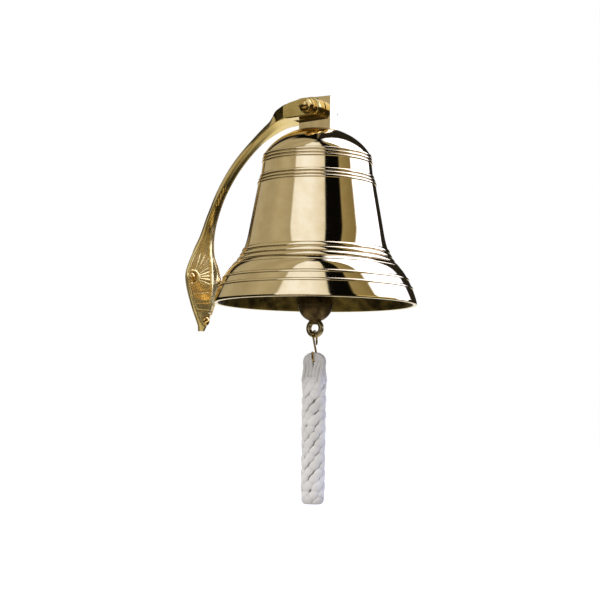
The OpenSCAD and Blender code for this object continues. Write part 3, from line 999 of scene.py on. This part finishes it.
def make_pivot():
    bolt = Shape()
    bolt_r = 4
    add_hexagon(bolt, 13, bolt_hi[1] - 5.5, bolt_hi[1])
    y0, y1 = bolt_lo[1], bolt_hi[1] - 1
    bolt.turned(
        [(2.6, 0), (bolt_r - 0.2, 0.9), (bolt_r, 1.4), (bolt_r, y1 - y0)],
        (0, 1, 0),
        (reach, y0, pivot_z),
    )
    new_piece(
        "pivot_bolt_brass", bolt.points, bolt.faces, [FIXING], "bracket",
        ["pivot_bolt"],
    )
    nut = Shape()
    add_hexagon(nut, 13, nut_lo[1], nut_hi[1])
    new_piece(
        "pivot_nut_brass", nut.points, nut.faces, [FIXING], "bracket",
        ["pivot_nut"],
    )
    for side in ("near", "far"):
        lo, hi = box_mm(f"pivot_washer_{side}")
        washer = Shape()
        thick = hi[1] - lo[1]
        washer.turned(
            [(7.6, 0), (8, 0.3), (8, thick - 0.3), (7.6, thick)], (0, 1, 0), (reach, lo[1], pivot_z)
        )
        new_piece(
            f"pivot_washer_{side}_brass", washer.points, washer.faces, [FIXING], "bracket",
            [f"pivot_washer_{side}"],
        )


make_pivot()

# ---- Wall screws ----

SCREW_HEAD_R = 5
SCREW_HEAD_H = 3.2
# Depth and width of the slot
SCREW_SLOT = (1.4, 1.2)
SCREW_NECK_R = 2.9
# Turn of the first screw's slot, and how much further each next one is turned, in degrees
SCREW_TURN = (35, 40)


def group_input(tree, modifier_inputs):
    """Declares a tree's inputs by name and kind, and gives their node."""
    for name, kind in modifier_inputs:
        tree.interface.new_socket(name, in_out="INPUT", socket_type=kind)
    tree.interface.new_socket("Geometry", in_out="OUTPUT", socket_type="NodeSocketGeometry")
    return add(tree, "NodeGroupInput").outputs


def run_tree(piece, tree, values):
    """Applies a tree to a piece. Values are set by each socket's identifier."""
    change = piece.modifiers.new(tree.name, "NODES")
    change.node_group = tree
    for item in tree.interface.items_tree:
        if item.name in values and item.in_out == "INPUT":
            change[item.identifier] = values[item.name]
    apply_modifiers(piece)


def screw_circle_tree():
    """Sets copies of one screw round a circle in the wall's plane, each turned a little further."""
    tree = bpy.data.node_groups.new("screws_on_circle", "GeometryNodeTree")
    given = group_input(
        tree,
        [
            ("Geometry", "NodeSocketGeometry"), ("Count", "NodeSocketInt"),
            ("Radius", "NodeSocketFloat"), ("Seat", "NodeSocketFloat"),
            ("Last seat", "NodeSocketFloat"), ("First turn", "NodeSocketFloat"),
            ("Turn step", "NodeSocketFloat"), ("Material", "NodeSocketMaterial"),
        ],
    )
    ring = add(
        tree, "GeometryNodeMeshCircle", {"Vertices": given["Count"], "Radius": given["Radius"]}
    )
    first_turned = add(
        tree,
        "GeometryNodeTransform",
        {"Geometry": ring.outputs[0], "Rotation": (0, 0, math.radians(30))},
    ).outputs[0]
    upright = add(
        tree,
        "GeometryNodeTransform",
        {"Geometry": first_turned, "Rotation": (math.radians(90), 0, math.radians(90))},
    ).outputs[0]
    number = add(tree, "GeometryNodeInputIndex").outputs[0]
    last = add(tree, "ShaderNodeMath", {0: given["Count"], 1: 1}, operation="SUBTRACT").outputs[0]
    is_last = add(tree, "FunctionNodeCompare", {0: number, 1: last}, operation="EQUAL").outputs[0]
    seat = add(tree, "GeometryNodeSwitch", input_type="FLOAT")
    for socket, value in zip(seat.inputs, (is_last, given["Seat"], given["Last seat"])):
        tree.links.new(value, socket)
    out = add(tree, "ShaderNodeCombineXYZ", {"X": seat.outputs[0]}).outputs[0]
    placed = add(tree, "GeometryNodeSetPosition", {"Geometry": upright, "Offset": out}).outputs[0]
    turn = add(
        tree,
        "ShaderNodeMath",
        {0: number, 1: given["Turn step"], 2: given["First turn"]},
        operation="MULTIPLY_ADD",
    ).outputs[0]
    about_x = add(tree, "ShaderNodeCombineXYZ", {"X": turn}).outputs[0]
    copies = add(
        tree,
        "GeometryNodeInstanceOnPoints",
        {"Points": placed, "Instance": given["Geometry"], "Rotation": about_x},
    ).outputs[0]
    real = add(tree, "GeometryNodeRealizeInstances", {"Geometry": copies}).outputs[0]
    painted = add(
        tree, "GeometryNodeSetMaterial", {"Geometry": real, "Material": given["Material"]}
    ).outputs[0]
    add(tree, "NodeGroupOutput", {"Geometry": painted})
    return tree


def make_wall_screws():
    """Round-headed slotted screws. What would be inside the wall is left to the CAD nodes."""
    screw = Shape()
    dome = [
        (SCREW_HEAD_R * math.cos(t), 0.5 + (SCREW_HEAD_H - 0.5) * math.sin(t))
        for t in (math.pi / 2 * i / 14 for i in range(14))
    ]
    neck = [(SCREW_NECK_R, -5), (SCREW_NECK_R, 0), (SCREW_HEAD_R - 0.2, 0)]
    screw.turned(neck + dome + [(0.05, SCREW_HEAD_H)], (1, 0, 0), (0, 0, 0), sides=40)
    mesh = bpy.data.meshes.new("wall_screw_set")
    mesh.from_pydata((np.array(screw.points) * MM).tolist(), [], screw.faces)
    piece = bpy.data.objects.new("wall_screw_set", mesh)
    scene.collection.objects.link(piece)
    slot = Shape()
    depth, wide = SCREW_SLOT
    low, high = SCREW_HEAD_H - depth, SCREW_HEAD_H + 1
    slot.rings([
        [(x, y, z) for y, z in ((-wide / 2, -8), (wide / 2, -8), (wide / 2, 8), (-wide / 2, 8))]
        for x in (low, high)
    ])
    cut(piece, slot)
    seats = [head[1][0] - SCREW_HEAD_H for head in screw_heads]
    run_tree(
        piece,
        screw_circle_tree(),
        {
            "Count": 3, "Radius": SCREW_CIRCLE_R * MM,
            "Seat": seats[0] * MM, "Last seat": seats[2] * MM,
            "First turn": math.radians(SCREW_TURN[0]), "Turn step": math.radians(SCREW_TURN[1]),
            "Material": FIXING,
        },
    )
    smooth(piece.data, 40)
    settle(
        piece, "bracket", ["wall_screw_left", "wall_screw_right", "wall_screw_lower"]
    )


make_wall_screws()

# ---- Clapper and hook ----


def repaint(node, material):
    """Gives a CAD node that stays a better material."""
    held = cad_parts[node]
    for slot in held.material_slots:
        slot.material = material


for name in ("clapper_staple", "crown_washer", "crown_nut", "clapper_pin", "clapper_split_pin"):
    repaint(name, FIXING)

BALL_R = 17
# The ring at the clapper's foot: radius of its bar, and from its centre to the bar's middle
EYE_BAR_R = 2.7
EYE_RING_R = 6.8
PIN_EYE_R = 7
PIN_EYE_T = 6


def make_clapper():
    """Ball, tapered rod, pin eye at the top and ring for the hook at the foot, cast in one."""
    clapper = Shape()
    ball_z = mouth_z
    pin_z = clapper_hi[2] - PIN_EYE_R
    # The ball has a low parting ridge round its middle
    ball = []
    for i in range(49):
        t = -math.pi / 2 + math.pi * i / 48
        r = BALL_R * math.cos(t) + (0.35 if i == 24 else 0)
        ball.append((max(r, 0.05), BALL_R * math.sin(t)))
    clapper.turned(ball, (0, 0, 1), (reach, 0, ball_z), sides=72)
    rod = [(5.9, 12), (6.2, 15), (5.8, 18.5), (5.6, 24)]
    rod += [(5.6 - 1.4 * i / 10, 24 + (pin_z - 12 - ball_z - 24) * i / 10) for i in range(1, 11)]
    clapper.turned(rod, (0, 0, 1), (reach, 0, ball_z), sides=32)
    flat = [(4, -3), (4, 3), (-4, 3), (-4, -3)]
    clapper.rings([[(reach + x, y, z) for x, y in flat] for z in (pin_z - 14, pin_z - 2)])
    small, wide = PIN_EYE_R - 0.6, PIN_EYE_R
    eye = [(small, 0), (wide, 0.6), (wide, PIN_EYE_T - 0.6), (small, PIN_EYE_T)]
    clapper.turned(eye, (0, 1, 0), (reach, -PIN_EYE_T / 2, pin_z), sides=40)
    # Collar where the ring joins the ball
    collar = [(4.6, -19.5), (5.4, -17.5), (6.2, -15.5), (6.4, -14)]
    clapper.turned(collar, (0, 0, 1), (reach, 0, ball_z), sides=32)
    new_piece(
        "clapper_casting", clapper.points, clapper.faces, [BRONZE], "clapper",
        ["clapper"],
    )
    ring = Shape()
    centre_z = clapper_lo[2] + EYE_RING_R + EYE_BAR_R
    count, sides = 48, 20
    for i in range(count):
        a = 2 * math.pi * i / count
        for j in range(sides):
            b = 2 * math.pi * j / sides
            r = EYE_RING_R + EYE_BAR_R * math.cos(b)
            ring.points.append(
                (reach + r * math.cos(a), EYE_BAR_R * math.sin(b), centre_z + r * math.sin(a))
            )
    ring.faces = [
        (
            i * sides + j, i * sides + (j + 1) % sides,
            (i + 1) % count * sides + (j + 1) % sides, (i + 1) % count * sides + j,
        )
        for i in range(count)
        for j in range(sides)
    ]
    new_piece("clapper_ring", ring.points, ring.faces, [WORN], "clapper")


make_clapper()

# Radius of the wire, and of the lower loop along the wire's middle
HOOK_WIRE_R = 1
HOOK_LOW_R = 4.5


def make_hook():
    """One bent wire: free end, upper arc over the ring's bar, crossed shank, lower arc and tip."""
    low_z = hook_lo[2] + HOOK_WIRE_R + HOOK_LOW_R
    top_r = EYE_BAR_R + HOOK_WIRE_R + 0.3
    bar_z = hook_hi[2] - HOOK_WIRE_R - top_r
    lean = math.asin((top_r + HOOK_LOW_R) / (bar_z - low_z))
    line = [(top_r, bar_z - 9.5), (top_r, bar_z - 7), (top_r, bar_z - 4.5), (top_r, bar_z - 2)]
    for i in range(33):
        a = i / 32 * (math.pi + lean)
        line.append((top_r * math.cos(a), bar_z + top_r * math.sin(a)))
    for i in range(33):
        a = lean - i / 32 * (math.pi + lean)
        line.append((HOOK_LOW_R * math.cos(a), low_z + HOOK_LOW_R * math.sin(a)))
    line += [(-HOOK_LOW_R, low_z + 2.5), (-HOOK_LOW_R, low_z + 4.6), (-HOOK_LOW_R, low_z + 5)]
    radii = [0.6] + [HOOK_WIRE_R] * (len(line) - 2) + [0.6]
    wire = Shape()
    wire.tube([(reach, y, z) for y, z in line], radii, sides=20, hint=(1, 0, 0))
    new_piece("s_hook_wire", wire.points, wire.faces, [FIXING], "hook", ["s_hook"])


make_hook()

# ---- Studio ----

# Height of the floor, in metres
FLOOR_Z = -0.42


def make_floor():
    bpy.ops.mesh.primitive_plane_add(size=60, location=(0, 0, FLOOR_Z))
    floor = bpy.context.object
    floor.name = "studio_floor"
    material, tree = new_material("pale_floor_paint")
    # A little glow of its own keeps the floor as pale as the backdrop
    close_material(
        tree,
        Base_Color=linear("#F7F7F7"),
        Roughness=0.9,
        Emission_Color=(1, 1, 1, 1),
        Emission_Strength=0.5,
    )
    floor.data.materials.append(material)
    floor.visible_glossy = False
    floor.visible_diffuse = False


make_floor()


def grey(level, warmth=0.0):
    """A light level, with blue held back as warmth rises."""
    return (level, level * (1 - 0.25 * warmth), level * (1 - 0.95 * warmth), 1)


BLACK = (0.003, 0.003, 0.003, 1)
WHITE = (1, 1, 1, 1)
WHITE_CARD = (2.3, 2.6, 4.2, 1)
# What stands round the bell, by turn in degrees from the camera, positive to its right
CARDS = [
    (-180, grey(0.25, 0.3)), (-160, grey(0.3, 0.3)), (-156, grey(0.02, 0.3)),
    (-147, grey(0.02, 0.3)), (-143, grey(0.45, 0.22)), (-125, grey(0.47, 0.22)),
    (-106, grey(0.42, 0.22)), (-91, grey(0.43, 0.22)), (-77, grey(0.5, 0.2)),
    (-65, grey(0.5, 0.2)), (-48, grey(0.43, 0.22)), (-45, (1.02, 1.1, 1.42, 1)),
    (-30, (1.08, 1.2, 1.6, 1)), (-10, (1.05, 1.15, 1.5, 1)), (8, (0.93, 0.97, 1.15, 1)),
    (15, (0.82, 0.85, 0.93, 1)), (17, BLACK), (46, BLACK), (48, grey(0.35, 0.5)),
    (74, grey(0.24, 0.6)), (77, WHITE_CARD), (138, WHITE_CARD), (141, grey(0.02, 0.3)),
    (172, grey(0.02, 0.3)), (180, grey(0.3, 0.3)),
]
# The same just over the horizon, where the bracket looks
LOW_CARDS = [
    (-180, BLACK), (-47, BLACK), (-44, (0.9, 0.92, 1.0, 1)), (15, (0.9, 0.92, 1.0, 1)), (17, BLACK),
    (46, BLACK), (49, (0.7, 0.6, 0.34, 1)), (102, (0.7, 0.6, 0.34, 1)), (104, WHITE_CARD),
    (127, WHITE_CARD), (130, grey(0.02, 0.3)), (180, grey(0.02, 0.3)),
]
# Heights over which one part of the studio gives way to the next, as the sine of the elevation
LOW_CARDS_TOP = (0.182, 0.188)
FLAG_FROM = (0.985, 0.997)
BACK_FLAG_FROM = (0.8, 0.88)
HORIZON = (0.03, 0.06)
FLOOR_TO_ROOM = (-0.75, -0.45)
# Turns in degrees over which the two flags and the wall behind end
FLAG_TURNS = (-58, -44)
BACK_FLAG_TURNS = (-137, -133)
WALL_TURNS = (153, 160)
ROOM_DARK = (0.03, 0.027, 0.02, 1)
FLOOR_SHINE = (0.6, 0.57, 0.5, 1)
WALL_BEHIND = (0.9, 0.88, 0.8, 1)
# Even light on what isn't shiny
FILL = (0.62, 0.62, 0.63, 1)


def fill_ramp(ramp, stops):
    while len(ramp.elements) > 1:
        ramp.elements.remove(ramp.elements[-1])
    for i, (place, colour) in enumerate(stops):
        element = ramp.elements[0] if i == 0 else ramp.elements.new(place)
        element.position = place
        element.color = colour


def make_world():
    """A pale studio for the eye, and cards and dark flags round the object for its shine."""
    world = bpy.data.worlds.new("studio")
    scene.world = world
    world.use_nodes = True
    tree = world.node_tree
    tree.nodes.clear()
    toward = add(tree, "ShaderNodeTexCoord").outputs["Generated"]
    parts = add(tree, "ShaderNodeSeparateXYZ", {"Vector": toward})
    azimuth = add(
        tree, "ShaderNodeMath", {0: parts.outputs[1], 1: parts.outputs[0]}, operation="ARCTAN2"
    ).outputs[0]
    # Turn, in degrees, from straight at the camera; positive is to the camera's right
    camera_turn = -90 + math.degrees(CAMERA_AZIMUTH)
    degrees = add(
        tree, "ShaderNodeMath", {0: azimuth, 1: 180 / math.pi}, operation="MULTIPLY"
    ).outputs[0]
    offset = add(tree, "ShaderNodeMath", {0: degrees, 1: -camera_turn}, operation="ADD").outputs[0]
    wrapped = add(
        tree, "ShaderNodeMath", {0: offset, 1: -180, 2: 180}, operation="WRAP"
    ).outputs[0]
    share = add(
        tree, "ShaderNodeMapRange", {"Value": wrapped, "From Min": -180, "From Max": 180}
    ).outputs[0]
    cards = []
    for stops in (CARDS, LOW_CARDS):
        ramp = add(tree, "ShaderNodeValToRGB", {"Fac": share})
        fill_ramp(ramp.color_ramp, [((at + 180) / 360, colour) for at, colour in stops])
        cards.append(ramp.outputs[0])
    height = parts.outputs[2]
    flagged = fade(tree, height, *LOW_CARDS_TOP, cards[1], cards[0])
    # Dark flags overhead: one on the camera's side and to its right, one behind to its left
    for rise, turn in (
        (FLAG_FROM, (*FLAG_TURNS, 0, 1)),
        (BACK_FLAG_FROM, (*BACK_FLAG_TURNS, 1, 0)),
    ):
        limits = [
            add(
                tree,
                "ShaderNodeMapRange",
                {"Value": value, "From Min": low, "From Max": high, "To Min": at, "To Max": to},
            ).outputs[0]
            for value, (low, high, at, to) in ((height, (*rise, 0, 1)), (wrapped, turn))
        ]
        flag = add(
            tree, "ShaderNodeMath", {0: limits[0], 1: limits[1]}, operation="MULTIPLY"
        ).outputs[0]
        flagged = add(
            tree, "ShaderNodeMix", {0: flag, 6: flagged, 7: BLACK}, data_type="RGBA"
        ).outputs[2]
    # The room is dark up to a little over the horizon, and the pale floor shines from below it
    side_on = add(tree, "ShaderNodeMath", {0: wrapped}, operation="ABSOLUTE").outputs[0]
    behind = fade(tree, side_on, *WALL_TURNS, ROOM_DARK, WALL_BEHIND)
    low = fade(tree, height, *FLOOR_TO_ROOM, FLOOR_SHINE, behind)
    seen = fade(tree, height, *HORIZON, low, flagged)
    # Only shine sees the cards: matt faces get an even fill, and the eye sees white
    paths = add(tree, "ShaderNodeLightPath")
    for ray, colour in (("Is Diffuse Ray", FILL), ("Is Camera Ray", WHITE)):
        seen = add(
            tree, "ShaderNodeMix", {0: paths.outputs[ray], 6: seen, 7: colour}, data_type="RGBA"
        ).outputs[2]
    background = add(tree, "ShaderNodeBackground", {"Color": seen})
    add(tree, "ShaderNodeOutputWorld", {"Surface": background.outputs[0]})


make_world()


def soft_light(name, azimuth, elevation, distance, size, power):
    """A square soft light that faces the bell, with its azimuth counted from the camera's side,
    positive to the right."""
    turn = math.radians(azimuth - 90) + CAMERA_AZIMUTH
    rise = math.radians(elevation)
    centre = Vector((reach * MM, 0, mouth_z * MM))
    level = math.cos(rise)
    toward = Vector((math.cos(turn) * level, math.sin(turn) * level, math.sin(rise)))
    data = bpy.data.lights.new(name, "AREA")
    data.size = size
    data.energy = power
    lamp = bpy.data.objects.new(name, data)
    lamp.location = centre + toward * distance
    lamp.rotation_euler = (-toward).to_track_quat("-Z", "Y").to_euler()
    lamp.visible_glossy = False
    scene.collection.objects.link(lamp)


soft_light("key_light", azimuth=-35, elevation=35, distance=1.6, size=0.9, power=14)
scene.view_settings.view_transform = "Standard"
